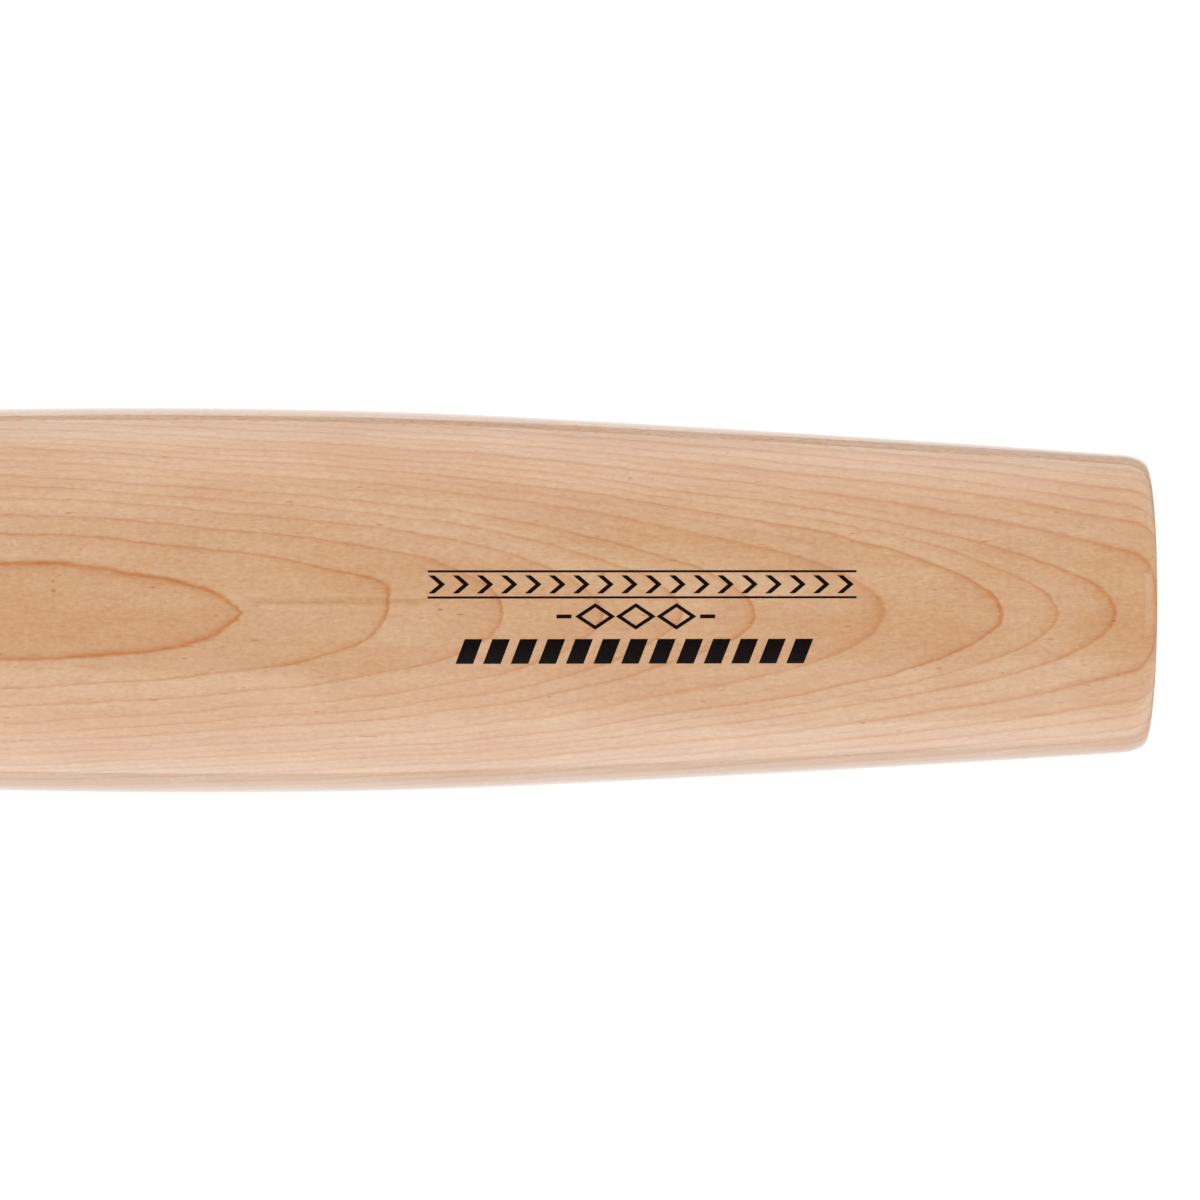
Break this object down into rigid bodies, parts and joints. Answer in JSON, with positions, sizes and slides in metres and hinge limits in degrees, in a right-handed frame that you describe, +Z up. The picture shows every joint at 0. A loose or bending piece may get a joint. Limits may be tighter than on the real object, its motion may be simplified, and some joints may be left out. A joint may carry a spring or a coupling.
{
  "type": "baseball bat",
  "caption": "Full-size baseball bat with a clear-coated maple barrel, a composite handle, a wrapped grip and a round knob.",
  "frame": {"origin": "centre of the knob's flat end face, on the bat's axis", "axes": "+X along the bat from the knob to the barrel's rim; +Z up, through the printed face of the barrel when the bat lies down"},
  "size_m": [0.8382, 0.0634, 0.0634],
  "materials": {
    "maple": "clear lacquer, satin to gloss, over pale maple with fine orange-brown growth lines",
    "ring_rubber": "satin moulded rubber",
    "adhesive": "cured epoxy, not seen",
    "composite": "gloss clear coat over woven carbon and glass fibre",
    "foam": "light closed-cell foam, not seen",
    "knob_plastic": "moulded, fine satin texture",
    "medallion": "brushed in circles, plain",
    "tape": "double-sided tape, not seen",
    "grip": "perforated synthetic leather, matte, wrapped in a spiral",
    "vinyl": "smooth vinyl tape"
  },
  "bodies": {
    "root": {"barrel": "maple", "seam_ring": "ring_rubber", "spigot_bond": "adhesive", "handle_shell": "composite", "foam_plug": "foam", "knob": "knob_plastic", "knob_bond": "adhesive", "knob_medallion": "medallion", "grip_tape": "tape", "grip_wrap": "grip", "finishing_band": "vinyl"}
  },
  "joints": []
}
